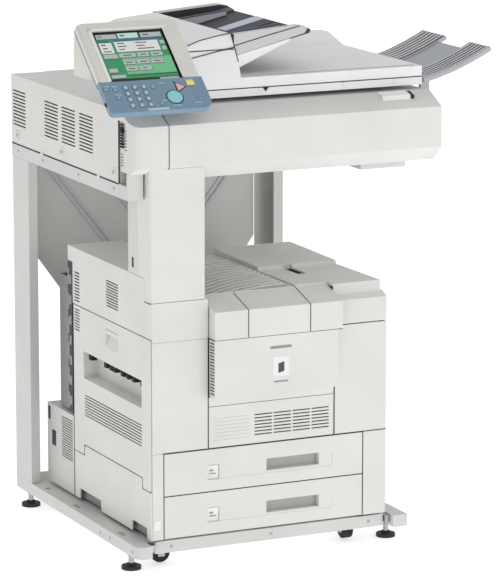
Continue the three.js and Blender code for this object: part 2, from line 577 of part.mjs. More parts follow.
function operationPanel() {
  // Fixed arm on the side box, carrying the panel's pivot.
  piece("panel_arm", join(
    block([-20, 40], [110, 200], [SCANNER_TOP + CLEAR, SCANNER_TOP + 12]),
    block([-2, 22], [130, 170], [SCANNER_TOP + 10, 1228]),
    rod("x", [150, 1222], 12, [-28, 48], 18)), "panelGrey");

  // The panel is drawn flat: x across, y up the slope, z out of the face.
  const panel = new THREE.Group();
  panel.position.set(PANEL_LEFT, PANEL_EDGE.y, PANEL_EDGE.z);
  panel.rotation.x = PANEL_SLOPE;
  copier.add(panel);

  const screen = { x: [30, 222], y: [98, 262] };
  const deckL = 98;
  const [cos, sin] = [Math.cos(PANEL_SLOPE), Math.sin(PANEL_SLOPE)];
  // A point (y, z) of the design frame in the panel's own (up the slope, out of the face).
  const local = ([y, z]) => {
    const [dy, dz] = [y - PANEL_EDGE.y, z - PANEL_EDGE.z];
    return [dy * cos + dz * sin, dz * cos - dy * sin];
  };
  const back = [[176, 1330], [194, 1308], [200, 1262], [200, 1206], [112, 1206], [96, 1232]]
    .map(local);
  const plate = prism("z", roundedRectangle([5, PANEL_W - 5], [deckL + CLEAR, PANEL_L],
    [0, 0, 12, 12], 4), [-17, 0]);
  const shell = prism("x", [[PANEL_L - 6, -8], ...back, [104, -17], [104, -8]],
    [8, PANEL_W - 8]);
  const pivot = local([150, 1222]);
  // Room for the arm while the panel tilts up, seen along the pivot.
  const slotBack = prism("x", [[-26, 23], [26, 23], [26, -6], [-26, -200], [-180, -200], [-26, -3]]
    .map(([a, b]) => [pivot[0] + a, pivot[1] + b]), [-PANEL_LEFT - 29.5, -PANEL_LEFT + 49.5]);
  piece("panel_housing", cut(join(plate, shell), slotBack,
    block([screen.x[0], screen.x[1]], [screen.y[0], screen.y[1]], [-9, 1])),
  "panelGrey", panel);

  const deck = join(
    prism("z", roundedRectangle([0, PANEL_W], [0, deckL], [10, 26, 0, 0], 5), [-15, 0]),
    block([0, 4.4], [deckL - 1, PANEL_L - 8], [-20, -4]),
    block([0, PANEL_W], [deckL - 10, deckL], [-15, -2]));
  const keys = { x: 61, y: 76.5, pitchX: 23.5, pitchY: 18.9, r: 6.6 };
  const keyAt = (c, r) => [keys.x + c * keys.pitchX, keys.y - r * keys.pitchY];
  const key = (p, r, z, sides = 18) => rod("z", p, r, z, sides);
  const wells = [];
  const KEY_DEPTH = -9;
  const MAT = { x: [50, 146], y: [9, 88], z: [-12.5, -9.5] };
  for (let r = 0; r < 4; r++)
    for (let c = 0; c < 3; c++) wells.push(key(keyAt(c, r), keys.r + 0.6, [KEY_DEPTH - 1, 1]));
  const start = [175.7, 38.6];
  const stop = [[191, 82], [191, 56], [212, 69]];
  const grow = 0.7;
  const stopWell = [[191 - grow, 82 + 2 * grow], [191 - grow, 56 - 2 * grow], [212 + 2 * grow, 69]];
  const power = [228.7, 79];
  const dial = [2.2, 35];
  const dialPin = key(dial, 1, [-12, -5.4], 8);
  piece("panel_deck", join(cut(deck, ...wells,
    block([MAT.x[0] - 2, MAT.x[1] + 2], [MAT.y[0] - 2, MAT.y[1] + 1], [-16, MAT.z[1] + 0.7]),
    key(start, 19.6, [KEY_DEPTH, 1], 30),
    prism("z", stopWell, [KEY_DEPTH, 1]),
    key(power, 8.6, [KEY_DEPTH, 1]),
    key(dial, 7.2, [-11.2, -5.8], 20)), dialPin), "blue", panel);
  piece("touch_screen", block([screen.x[0] + CLEAR, screen.x[1] - CLEAR],
    [screen.y[0] + CLEAR + 1, screen.y[1] - CLEAR], [-8.5, -5]), "black", panel);

  const KEY_Z = [KEY_DEPTH + 3, 1.6];
  piece("start_key", key(start, 19, [KEY_Z[0], 2.2], 30), "teal", panel);
  piece("stop_key", prism("z", stop, KEY_Z), "pink", panel);
  piece("power_saver_key", key(power, 8, KEY_Z), "yellow", panel);
  piece("contrast_dial", cut(key(dial, 6.4, [-10.4, -6.6], 20), key(dial, 1.5, [-11, -6], 8)),
    "black", panel);
  const caps = [];
  for (let r = 0; r < 4; r++)
    for (let c = 0; c < 3; c++) caps.push(key(keyAt(c, r), keys.r, [MAT.z[1] - 1, KEY_Z[1]]));
  piece("number_keypad", join(block(MAT.x, MAT.y, MAT.z), ...caps), "blue", panel);
}

rack();
runningGear();
engineChassis();
leftCovers();
frontCovers();
frontDoor();
bypassTray();
drawer("paper_drawer_lower", DRAWER_FLOORS[0]);
drawer("paper_drawer_upper", DRAWER_FLOORS[1]);
topCovers();
controllerBox();
engineInternals();
scanner();
feeder();
operationPanel();

// Origin at the bottom centre of the whole machine.
copier.updateMatrixWorld(true);
const extent = new THREE.Box3().setFromObject(copier);
const middle = extent.getCenter(new THREE.Vector3());
copier.position.set(-middle.x, -middle.y, -extent.min.z);

export default copier;
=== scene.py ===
import json
import math

import bmesh
import bpy
from mathutils import Matrix, Vector


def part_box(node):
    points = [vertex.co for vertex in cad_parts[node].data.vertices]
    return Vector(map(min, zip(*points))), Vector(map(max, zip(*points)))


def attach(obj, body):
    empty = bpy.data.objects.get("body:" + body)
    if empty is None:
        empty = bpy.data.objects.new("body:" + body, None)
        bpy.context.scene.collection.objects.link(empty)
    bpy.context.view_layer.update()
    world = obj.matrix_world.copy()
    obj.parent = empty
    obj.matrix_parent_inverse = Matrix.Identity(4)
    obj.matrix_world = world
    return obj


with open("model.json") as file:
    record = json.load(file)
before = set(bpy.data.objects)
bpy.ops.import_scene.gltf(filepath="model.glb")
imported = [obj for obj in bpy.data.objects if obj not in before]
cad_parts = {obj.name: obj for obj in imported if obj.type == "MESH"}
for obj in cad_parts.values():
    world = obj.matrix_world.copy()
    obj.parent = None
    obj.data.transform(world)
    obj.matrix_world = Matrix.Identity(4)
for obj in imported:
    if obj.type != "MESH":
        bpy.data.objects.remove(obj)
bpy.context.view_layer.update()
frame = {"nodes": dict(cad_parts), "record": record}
NODES = frame["nodes"]

# Design frame: millimetres, X from the engine's left side, Y back from the drawer fronts, Z from
# the floor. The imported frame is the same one, shifted, so two nodes give the shift.
MM = 0.001
ORIGIN = Vector((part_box("left_upper_cover")[0].x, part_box("right_cover")[0].y, 0.0))
DESIGN = Matrix.Translation(ORIGIN) @ Matrix.Scale(MM, 4)

# The operation panel's own frame: x across, y up the slope, z out of its face.
PANEL_EDGE = (-117, -48, 1147)
PANEL_SLOPE = math.radians(40.2)
PANEL = DESIGN @ Matrix.Translation(PANEL_EDGE) @ Matrix.Rotation(PANEL_SLOPE, 4, "X")


# ---------- materials ----------

def srgb(red, green, blue):
    """A colour given as 0-255 screen values, as the linear one that shaders use."""
    def linear(value):
        c = value / 255
        return c / 12.92 if c <= 0.04045 else ((c + 0.055) / 1.055) ** 2.4
    return (linear(red), linear(green), linear(blue), 1.0)


def new_material(name):
    material = bpy.data.materials.new(name)
    material.use_nodes = True
    nodes = material.node_tree.nodes
    return material, nodes, material.node_tree.links, nodes["Principled BSDF"]


def noise(nodes, links, scale, detail=3.0, stretch=None):
    """Noise in the object's own coordinates, in features per metre."""
    place = nodes.new("ShaderNodeTexCoord")
    source = place.outputs["Object"]
    if stretch:
        mapping = nodes.new("ShaderNodeMapping")
        mapping.inputs["Scale"].default_value = stretch
        links.new(source, mapping.inputs["Vector"])
        source = mapping.outputs["Vector"]
    texture = nodes.new("ShaderNodeTexNoise")
    texture.inputs["Scale"].default_value = scale
    texture.inputs["Detail"].default_value = detail
    links.new(source, texture.inputs["Vector"])
    return texture.outputs["Fac"]


def between(nodes, links, fac, low, high, start=0.3, end=0.7):
    """The factor carried from the range start..end to low..high."""
    span = nodes.new("ShaderNodeMapRange")
    span.inputs["From Min"].default_value = start
    span.inputs["From Max"].default_value = end
    span.inputs["To Min"].default_value = low
    span.inputs["To Max"].default_value = high
    links.new(fac, span.inputs["Value"])
    return span.outputs["Result"]


def mix_colours(nodes, links, fac, low, high):
    mixer = nodes.new("ShaderNodeMix")
    mixer.data_type = "RGBA"
    links.new(fac, mixer.inputs["Factor"])
    for socket, value in (("A", low), ("B", high)):
        target = [i for i in mixer.inputs if i.name == socket and i.type == "RGBA"][0]
        if isinstance(value, tuple):
            target.default_value = value
        else:
            links.new(value, target)
    return [o for o in mixer.outputs if o.type == "RGBA"][0]


def toned(colour, factor):
    return tuple(min(1.0, c * factor) for c in colour[:3]) + (1.0,)


def finish(name, colour, roughness=0.5, tone=0.03, grain=1600, bump=0.12, depth=0.00008,
           metallic=0.0, stretch=None, coat=0.0, specular=0.4, edge_highlight=0.5):
    """A moulded or painted surface: slow tone drift, fine grain and a painted highlight that lightens
    the edges.
    """
    material, nodes, links, shader = new_material(name)
    drift = noise(nodes, links, 7.0, 2.0)
    fac = between(nodes, links, drift, 0.0, 1.0)
    base = mix_colours(nodes, links, fac, toned(colour, 1 - tone), toned(colour, 1 + tone))
    grains = noise(nodes, links, grain, 2.0, stretch)
    # Edges are mixed towards a paler copy of the colour: a painted highlight where light catches the
    # corners.
    if edge_highlight:
        bevel = nodes.new("ShaderNodeBevel")
        bevel.samples = 4
        bevel.inputs["Radius"].default_value = 0.0012
        geometry = nodes.new("ShaderNodeNewGeometry")
        dot = nodes.new("ShaderNodeVectorMath")
        dot.operation = "DOT_PRODUCT"
        links.new(bevel.outputs["Normal"], dot.inputs[0])
        links.new(geometry.outputs["Normal"], dot.inputs[1])
        edge = between(nodes, links, dot.outputs["Value"], edge_highlight, 0.0, 0.80, 0.98)
        base = mix_colours(nodes, links, edge, base, toned(colour, 1.18))
    links.new(base, shader.inputs["Base Color"])
    links.new(between(nodes, links, grains, roughness - 0.06, roughness + 0.08),
              shader.inputs["Roughness"])
    dents = nodes.new("ShaderNodeBump")
    dents.inputs["Strength"].default_value = bump
    dents.inputs["Distance"].default_value = depth
    links.new(grains, dents.inputs["Height"])
    links.new(dents.outputs["Normal"], shader.inputs["Normal"])
    shader.inputs["Metallic"].default_value = metallic
    shader.inputs["Specular IOR Level"].default_value = specular
    shader.inputs["Coat Weight"].default_value = coat
    return material


def glass(name, colour, roughness=0.05, alpha=1.0):
    material, nodes, links, shader = new_material(name)
    smears = noise(nodes, links, 25, 3.0)
    links.new(between(nodes, links, smears, roughness, roughness + 0.1),
              shader.inputs["Roughness"])
    links.new(mix_colours(nodes, links, between(nodes, links, smears, 0, 1),
                          toned(colour, 0.97), toned(colour, 1.03)), shader.inputs["Base Color"])
    shader.inputs["Alpha"].default_value = alpha
    shader.inputs["Specular IOR Level"].default_value = 0.6
    return material


COVER = finish("cover_plastic", srgb(226, 225, 222), 0.48)
TOP = finish("top_plastic", srgb(208, 209, 207), 0.5)
RACK = finish("rack_paint", srgb(214, 215, 212), 0.42, grain=900, bump=0.08, specular=0.5)
CHASSIS = finish("chassis_steel", srgb(150, 152, 152), 0.45, metallic=0.35, grain=400)
DARK = finish("dark_plastic", srgb(58, 60, 66), 0.5, tone=0.08)
HOUSING = finish("panel_plastic", srgb(224, 222, 216), 0.5)
BLUE = finish("deck_plastic", srgb(122, 150, 172), 0.42, tone=0.04)
LAVENDER = finish("guide_plastic", srgb(206, 206, 216), 0.4)
TRAY = finish("tray_plastic", srgb(180, 183, 187), 0.45)
TRAY_RIB = finish("tray_rib", srgb(214, 216, 219), 0.4)
# Near black: painted shade in the grooves under the exit tray's ribs.
GROOVE_SHADE = finish("tray_groove_shade", srgb(34, 35, 38), 0.6)
RUBBER = finish("rubber", srgb(34, 34, 35), 0.75, tone=0.15, grain=700, bump=0.3)
FOOT = finish("foot_plastic", srgb(38, 38, 40), 0.55, tone=0.1)
STEEL = finish("zinc_steel", srgb(178, 180, 183), 0.3, metallic=0.9, grain=500, edge_highlight=0.0,
               stretch=(1, 1, 8))
DRUM = finish("drum_coating", srgb(92, 160, 152), 0.22, metallic=0.4, edge_highlight=0.0)
TEAL = finish("start_plastic", srgb(140, 214, 214), 0.3, coat=0.3, tone=0.04)
PINK = finish("stop_plastic", srgb(241, 184, 178), 0.35)
YELLOW = finish("power_plastic", srgb(246, 226, 132), 0.35)
KEYPAD = finish("keypad_rubber", srgb(146, 174, 192), 0.4, tone=0.05)
SCREEN = glass("screen_glass", srgb(18, 20, 20), 0.08)
PLATEN = glass("platen_glass", srgb(205, 222, 220), 0.03, 0.45)
WHITE = finish("white_plastic", srgb(240, 240, 238), 0.4)
EDGE_GREY = finish("edge_grey", srgb(150, 151, 152), 0.5)
GRIP = finish("grip_shade", srgb(176, 177, 176), 0.55)
PALE_BLUE = finish("tray_band", srgb(206, 209, 226), 0.4)
STEP_GREY = finish("tray_steps", srgb(88, 91, 100), 0.5, tone=0.08)
BACK_SHEET = finish("back_sheet", srgb(200, 205, 207), 0.45)
BADGE = finish("badge", srgb(74, 76, 84), 0.35, tone=0.06)
DECK_DARK = finish("deck_surround", srgb(44, 70, 90), 0.5)
DECK_LIGHT = finish("deck_marks", srgb(196, 212, 222), 0.5, edge_highlight=0.0)
UI_GREEN = finish("screen_green", srgb(58, 158, 102), 0.35, edge_highlight=0.0)
UI_LIGHT = finish("screen_light_green", srgb(122, 202, 150), 0.35, edge_highlight=0.0)
UI_GREY = finish("screen_grey", srgb(196, 200, 200), 0.35, edge_highlight=0.0)
UI_MINT = finish("screen_mint", srgb(206, 240, 224), 0.35, edge_highlight=0.0)
KEY_GREEN = finish("key_green", srgb(140, 184, 170), 0.4)
# Whiter than the cover plastic: partly the lid's own whiter plastic, partly painted light for the
# brightly lit top of the feeder.
LID_PAINTED_LIGHT = finish("lid_plastic_painted_light", srgb(246, 246, 248), 0.4)
# Darker grey: painted shade on the output bin's floor between the ribs.
BIN_FLOOR_SHADE = finish("bin_floor_shade", srgb(186, 185, 183), 0.5)
UI_BLUE = finish("screen_blue", srgb(64, 104, 168), 0.35, edge_highlight=0.0)
UI_DARK = finish("screen_dark", srgb(48, 58, 60), 0.35, edge_highlight=0.0)
SEAM_SHADOW = finish("seam_shadow", srgb(52, 53, 54), 0.8, tone=0.1, edge_highlight=0.0)

SLOT_FINISHES = {
    "cover_plastic": COVER, "rack_metal": RACK, "chassis_metal": CHASSIS, "dark_plastic": DARK,
    "panel_plastic": HOUSING, "blue_plastic": BLUE, "guide_plastic": LAVENDER,
    "tray_plastic": TRAY, "screen_glass": SCREEN, "glass": PLATEN, "rubber": RUBBER,
    "foot_plastic": FOOT, "caster_steel": STEEL, "roller_steel": STEEL, "drum_coating": DRUM,
    "start_plastic": TEAL, "stop_plastic": PINK, "power_plastic": YELLOW,
    "keypad_rubber": KEYPAD,
}


# ---------- CAD nodes ----------

EDGE_ROUNDING = {
    "scanner_housing": 3.0, "front_door": 2.0, "front_top_cap": 1.3, "feeder_lid": 3.0,
    "base_frame": 1.6, "panel_housing": 3.0, "panel_deck": 1.2, "side_controller_box": 1.0,
    "scanner_corner_cover": 1.0,
}
DEFAULT_ROUNDING = 0.8
# Sheets pierced by louvres keep their sharp edges: the shader paints a highlight along them.
SHARP = ("side_controller_box", "left_upper_cover", "left_door", "rear_controller_box",
         "bypass_tray", "front_door", "scanner_corner_cover")
LIDS = {"feeder_lid": LID_PAINTED_LIGHT, "feeder_top_cover": LID_PAINTED_LIGHT}


def ease_edges(obj, width):
    """A small round on every sharp edge, width in mm, with normals that follow the faces."""
    bevel = obj.modifiers.new("eased", "BEVEL")
    bevel.width = width * MM
    bevel.segments = 2
    bevel.limit_method = "ANGLE"
    bevel.angle_limit = math.radians(32)
    normals = obj.modifiers.new("normals", "WEIGHTED_NORMAL")
    normals.weight = 100
    normals.keep_sharp = False


def dress(node, material, width):
    """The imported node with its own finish, and its sharp edges eased by a small round."""
    obj = NODES[node]
    obj.data.materials.clear()
    obj.data.materials.append(material)
    weld = obj.modifiers.new("weld", "WELD")
    weld.merge_threshold = 0.00002
    if node not in SHARP:
        ease_edges(obj, width)


for part in frame["record"]["subparts"]:
    dress(part["node"], LIDS.get(part["node"], SLOT_FINISHES[part["material_slot"]]),
          EDGE_ROUNDING.get(part["node"], DEFAULT_ROUNDING))


# ---------- detail geometry ----------

# A point (a, b) of a section, placed at t along each axis.
ALONG = {"x": lambda a, b, t: (t, a, b), "y": lambda a, b, t: (a, t, b),
         "z": lambda a, b, t: (a, b, t)}


def box(x, y, z):
    corners = [(a, b, c) for c in z for b in y for a in x]
    return corners, [(0, 2, 3, 1), (4, 5, 7, 6), (0, 1, 5, 4), (2, 6, 7, 3), (0, 4, 6, 2),
                     (1, 3, 7, 5)]


def prism(axis, outline, span):
    """A section extruded along an axis. Section points are (y, z), (x, z) and (x, y) for x, y, z."""
    place = ALONG[axis]
    n = len(outline)
    verts = [place(a, b, t) for t in span for a, b in outline]
    sides = [(i, (i + 1) % n, (i + 1) % n + n, i + n) for i in range(n)]
    return verts, [tuple(range(n))[::-1], tuple(range(n, 2 * n))] + sides


def turned(axis, centre, profile, sides=24):
    """A profile of (radius, height) pairs turned about an axis through a point of its plane."""
    place = ALONG[axis]
    verts = [place(centre[0] + r * math.cos(2 * math.pi * k / sides),
                   centre[1] + r * math.sin(2 * math.pi * k / sides), t)
             for r, t in profile for k in range(sides)]
    faces = [(j * sides + k, j * sides + (k + 1) % sides,
              (j + 1) * sides + (k + 1) % sides, (j + 1) * sides + k)
             for j in range(len(profile) - 1) for k in range(sides)]
    last = (len(profile) - 1) * sides
    return verts, faces + [tuple(range(sides))[::-1], tuple(range(last, last + sides))]


def disc(axis, centre, radius, span, sides=24):
    low, high = span
    ease = min(0.4, radius / 4, abs(high - low) / 3)
    return turned(axis, centre, [(radius, low), (radius, high - ease), (radius - ease, high)],
                  sides)


def build(name, shapes, material, body, base=DESIGN, ease=0.3):
    """One visual piece from several shapes, carried by a body of the frame."""
    mesh = bpy.data.meshes.new(name)
    verts, faces = [], []
    for shape_verts, shape_faces in shapes:
        start = len(verts)
        verts += [base @ Vector(v) for v in shape_verts]
        faces += [tuple(start + i for i in face) for face in shape_faces]
    mesh.from_pydata(verts, [], faces)
    shell = bmesh.new()
    shell.from_mesh(mesh)
    bmesh.ops.recalc_face_normals(shell, faces=shell.faces)
    shell.to_mesh(mesh)
    shell.free()
    mesh.materials.append(material)
    obj = bpy.data.objects.new(name, mesh)
    bpy.context.scene.collection.objects.link(obj)
    if ease:
        ease_edges(obj, ease)
    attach(obj, body)


def tube(points, radius, sides=6):
    """A thin round bar along a run of points."""
    verts, faces = [], []
    run = [Vector(p) for p in points]
    for i, point in enumerate(run):
        along = (run[min(i + 1, len(run) - 1)] - run[max(i - 1, 0)]).normalized()
        side = along.cross(Vector((0, 0, 1)) if abs(along.z) < 0.9 else Vector((1, 0, 0)))
        side.normalize()
        up = side.cross(along)
        for k in range(sides):
            t = 2 * math.pi * k / sides
            verts.append(tuple(point + side * radius * math.cos(t) + up * radius * math.sin(t)))
    for i in range(len(run) - 1):
        for k in range(sides):
            a, b = i * sides + k, i * sides + (k + 1) % sides
            faces.append((a, b, b + sides, a + sides))
    last = (len(run) - 1) * sides
    return verts, faces + [tuple(range(sides))[::-1], tuple(range(last, last + sides))]


def plane_points(points, offset):
    """A run of (x, z) points pushed up by an offset."""
    return [(x, z + offset) for x, z in points]


# ---------- operation panel ----------

def panel_details():
    body, slot = "panel", "panel_plastic"

    def flat(name, shapes, material, ease=0.2):
        build(name, shapes, material, body, PANEL, ease)

    # Raised lip round the screen, standing over the edges of the opening.
    x0, x1, y0, y1 = 34, 216, 100, 260
    flat("screen_lip", [box((x0 - 9, x0 - 0.5), (y0, y1 + 8), (-0.6, 1.6)),
                        box((x0 - 9, x1 + 9), (y1, y1 + 8), (-0.6, 1.6))], WHITE, ease=0.8)
    flat("housing_edge", [box((-0.6, 5.4), (101, 280), (-14, -0.6))], HOUSING, ease=1.5)
    flat("screen_side", [box((x1 + 1, x1 + 9), (y0, y1), (-0.6, 0.5))], HOUSING, ease=0.4)

    # What the screen shows: plain tiles, no lettering, given as parts of its width and height
    # from the top left corner.
    def tiles(name, rows, material, level):
        shapes = []
        for left, right, top, bottom in rows:
            x = [x0 + (x1 - x0) * part for part in (left, right)]
            y = [y1 - (y1 - y0) * part for part in (bottom, top)]
            shapes.append(box(x, y, (-4.9, -4.9 + level)))
        flat(name, shapes, material, 0)

    tiles("screen_ground", [(0.02, 0.98, 0.15, 0.94)], UI_GREEN, 0.3)
    tiles("screen_lower", [(0.28, 0.98, 0.53, 0.86)], UI_LIGHT, 0.5)
    tiles("screen_tab", [(0.35, 0.64, 0.04, 0.14)], UI_MINT, 0.6)
    tiles("screen_tabs", [(0.04, 0.33, 0.05, 0.14), (0.67, 0.97, 0.05, 0.14),
                          (0.70, 0.97, 0.955, 0.99)], UI_GREY, 0.6)
    tiles("screen_title", [(0.27, 0.97, 0.165, 0.20), (0.03, 0.21, 0.17, 0.20)], UI_BLUE, 0.6)
    tiles("screen_boxes", [(0.26, 0.88, 0.205, 0.41), (0.04, 0.22, 0.22, 0.43)], WHITE, 0.7)
    tiles("screen_shades", [(0.265, 0.505, 0.45, 0.535), (0.525, 0.695, 0.45, 0.535),
                            (0.715, 0.885, 0.45, 0.535), (0.285, 0.455, 0.59, 0.675),
                            (0.485, 0.655, 0.59, 0.675), (0.685, 0.855, 0.59, 0.675),
                            (0.285, 0.455, 0.72, 0.805), (0.485, 0.655, 0.72, 0.805),
                            (0.045, 0.245, 0.46, 0.545), (0.045, 0.165, 0.74, 0.82),
                            (0.045, 0.245, 0.875, 0.935), (0.28, 0.97, 0.875, 0.885)],
          UI_DARK, 0.6)
    tiles("screen_buttons", [(0.26, 0.50, 0.44, 0.525), (0.52, 0.69, 0.44, 0.525),
                             (0.71, 0.88, 0.44, 0.525), (0.28, 0.45, 0.58, 0.665),
                             (0.48, 0.65, 0.58, 0.665), (0.68, 0.85, 0.58, 0.665),
                             (0.28, 0.45, 0.71, 0.795), (0.48, 0.65, 0.71, 0.795),
                             (0.91, 0.97, 0.22, 0.29), (0.91, 0.97, 0.34, 0.41),
                             (0.04, 0.24, 0.45, 0.535), (0.04, 0.16, 0.73, 0.81),
                             (0.04, 0.24, 0.865, 0.925)], UI_GREY, 0.8)
    tiles("screen_marks", [(0.30, 0.40, 0.235, 0.25), (0.30, 0.42, 0.295, 0.31),
                           (0.30, 0.38, 0.355, 0.37), (0.56, 0.72, 0.235, 0.25),
                           (0.56, 0.68, 0.295, 0.31), (0.56, 0.80, 0.355, 0.37),
                           (0.07, 0.13, 0.25, 0.27), (0.08, 0.14, 0.32, 0.34),
                           (0.07, 0.18, 0.385, 0.40), (0.32, 0.44, 0.475, 0.49),
                           (0.56, 0.64, 0.475, 0.49), (0.75, 0.83, 0.475, 0.49),
                           (0.32, 0.41, 0.615, 0.63), (0.52, 0.61, 0.615, 0.63),
                           (0.72, 0.81, 0.615, 0.63), (0.32, 0.41, 0.745, 0.76),
                           (0.52, 0.58, 0.745, 0.76), (0.07, 0.12, 0.085, 0.10),
                           (0.38, 0.44, 0.08, 0.10), (0.71, 0.79, 0.085, 0.10)], UI_DARK, 1.0)

    # Deck: keys in dark surrounds.
    small = [(131.5, 75.8), (137, 21), (10, 75), (33, 73), (34, 47)]
    right = [(232, 37), (237, 27)]
    numbers = [(61 + c * 23.5, 76.5 - r * 18.9) for r in range(4) for c in range(3)]
    flat("key_surrounds",
         [disc("z", p, 6.4, (-0.3, 0.3)) for p in small] +
         [disc("z", p, 4.6, (-0.3, 0.3)) for p in right] +
         [disc("z", p, 7.9, (-0.3, 0.25)) for p in numbers] +
         [disc("z", (175.7, 38.6), 22.4, (-0.3, 0.4), 40), disc("z", (228.7, 79), 9.8, (-0.3, 0.3)),
          prism("z", [(187.5, 88.5), (187.5, 49.5), (217, 69)], (-0.3, 0.3))], DECK_DARK)
    flat("small_keys",
         [turned("z", p, [(5.2, 0), (5.2, 1.0), (3.8, 1.9)]) for p in small[1:]] +
         [turned("z", p, [(3.6, 0), (3.6, 0.9), (2.6, 1.5)]) for p in right], KEYPAD)
    flat("reset_key", [turned("z", small[0], [(5.2, 0), (5.2, 1.0), (3.8, 1.9)])],
         KEY_GREEN)
    flat("deck_label", [box((96, 150), (2.5, 8.5), (-0.2, 0.25))], DECK_LIGHT)
    build("power_cap", [prism("z", [(218.5, 73), (221, 70.6), (236.5, 70.6), (239, 73),
                                    (239, 85), (236.5, 87.4), (221, 87.4), (218.5, 85)],
                              (1.3, 2.4))], YELLOW, "power_saver_key", PANEL)
    build("key_marks", [box((x - 1.4, x + 1.4), (y - 3, y + 3), (1.5, 1.9)) for x, y in numbers],
          WHITE, "keypad", PANEL, 0)
    flat("deck_marks",
         [box((8, 22), (84, 86), (-0.2, 0.2)), box((28, 42), (82, 84), (-0.2, 0.2)),
          box((28, 44), (56, 58), (-0.2, 0.2)), box((150, 164), (84, 86), (-0.2, 0.2)),
          box((166, 186), (12, 14), (-0.2, 0.2)), box((218, 240), (91, 92.6), (-0.2, 0.2)),
          box((140, 156), (30, 31.6), (-0.2, 0.2)), box((222, 240), (17, 18.6), (-0.2, 0.2))],
         DECK_LIGHT, 0)


panel_details()


# ---------- exit tray, feeder and input tray ----------

def feeder_details():
    # Exit tray: two ribbed bands either side of a plain middle, each with a near-black strip under its
    # ribs as painted shade in the grooves.
    run = [(0, 0), (40, 10), (85, 24), (130, 42), (165, 58), (186, 69)]
    top = [(787 + x, 1155 + z) for x, z in run]

    def strip(y, low, high, points=top):
        return prism("y", plane_points(points, high) + plane_points(points, low)[::-1], y)

    dark_bands = [(101, 196), (338, 446)]
    build("tray_groove_shadows", [strip(y, -0.5, 0.5) for y in dark_bands], GROOVE_SHADE, "exit_tray",
          ease=0)
    ribs = []
    for low, high in dark_bands:
        pitch = (high - low) / 6
        ribs += [strip((low + k * pitch + 6, low + (k + 1) * pitch - 3), 0, 2.0)
                 for k in range(6)]
    build("tray_ribs", ribs, TRAY_RIB, "exit_tray", ease=0.5)
    build("tray_rim", [strip((97.4, 101), 0, 3.4), strip((446, 449.6), 0, 3.4)], TRAY,
          "exit_tray", ease=0.8)

    # Feeder: seam shadows, lid front groove and latches.
    build("head_seams", [
        tube([(160, 119.5, 1239.6), (225, 127, 1250), (285, 133.4, 1259)], 1.3),
        tube([(163, 139.6, 1268.6), (200, 146.4, 1279), (240, 150.5, 1285.5),
              (284, 155.4, 1291.4)], 1.2),
        tube([(285.8, 153, 1289), (285.8, 135, 1261.5), (285.8, 120, 1239.5),
              (285.8, 111, 1226)], 1.2)], SEAM_SHADOW, "feeder", ease=0)
    build("tray_seam", [tube([(289, 138.8, 1262), (380, 138.8, 1283), (464, 138.8, 1300.6)],
                             1.2)], SEAM_SHADOW, "input_tray", ease=0)
    build("tray_skirt", [prism("y", [(288, 1236), (440, 1272), (440, 1266), (296, 1205),
                                     (288, 1200)], (139.6, 150))], LID_PAINTED_LIGHT, "feeder",
          ease=1.0)
    build("lid_groove", [box((158, 780), (94.2, 96), (1162, 1164.4))], SEAM_SHADOW, "feeder",
          ease=0)
    build("lid_band", [box((156, 330), (94, 96), (1147, 1158))], WHITE, "feeder",
          ease=0.4)
    build("lid_latches", [box((332, 342), (93, 96), (1150, 1161)),
                          box((560, 572), (93, 96), (1150, 1161)),
                          box((700, 712), (93, 96), (1150, 1161))], WHITE, "feeder",
          ease=0.8)
    build("lid_notch", [prism("y", [(343, 1162), (359, 1162), (351, 1152)], (93.6, 96))], SEAM_SHADOW,
          "feeder", ease=0)
    build("lid_inner_line", [box((292, 770), (112, 113.4), (1188.6, 1189.6)),
                             box((292, 770), (121, 122), (1188.6, 1189.5))], EDGE_GREY,
          "feeder", ease=0)
    # A grey line of painted shadow along the foot of the rear ridge.
    build("ridge_shadow_line", [tube([(300, 525, 1188), (770, 525, 1188)], 1.0)], EDGE_GREY, "feeder",
          ease=0)

    # Input tray: light side walls, stepped dark floor and a pale band between the guides.
    tl, tr = 287, 478
    def wall(y, out):
        return prism("y", [(tl, 1240 - out), (tr, 1286 - out), (tr + 8, 1294), (tr, 1300.6),
                           (tr - 20, 1303.6), (tl, 1290.6)], y)
    build("tray_side_caps", [wall((139.2, 156), 4), wall((592, 626.6), 4)], TOP, "input_tray",
          ease=1.0)
    def floor_strip(y, low, high, x=(tl + 2, tr - 3)):
        at = lambda px: 1247 + (px - tl) * (45 / (tr - tl))
        return prism("y", [(x[0], at(x[0]) + low), (x[1], at(x[1]) + low),
                           (x[1], at(x[1]) + high), (x[0], at(x[0]) + high)], y)
    build("tray_band", [floor_strip((362, 412), 0, 2.4, (368, 476))], PALE_BLUE,
          "input_tray", ease=0.6)
    build("tray_steps", [floor_strip((152.5, 205), 0, 5), floor_strip((540, 587), 0, 5),
                         floor_strip((306, 312), 0, 2)],
          STEP_GREY, "input_tray", ease=0.6)
    cap = [(301, 1279), (444, 1295.4), (444, 1298.4), (301, 1282.4)]
    for name, body, y in (("guide_caps", "front_guide", (213, 223)),
                          ("guide_caps_rear", "rear_guide", (519, 529))):
        build(name, [prism("y", cap, y)], STEP_GREY, body, ease=0.8)


feeder_details()


# ---------- engine top: output bin ----------

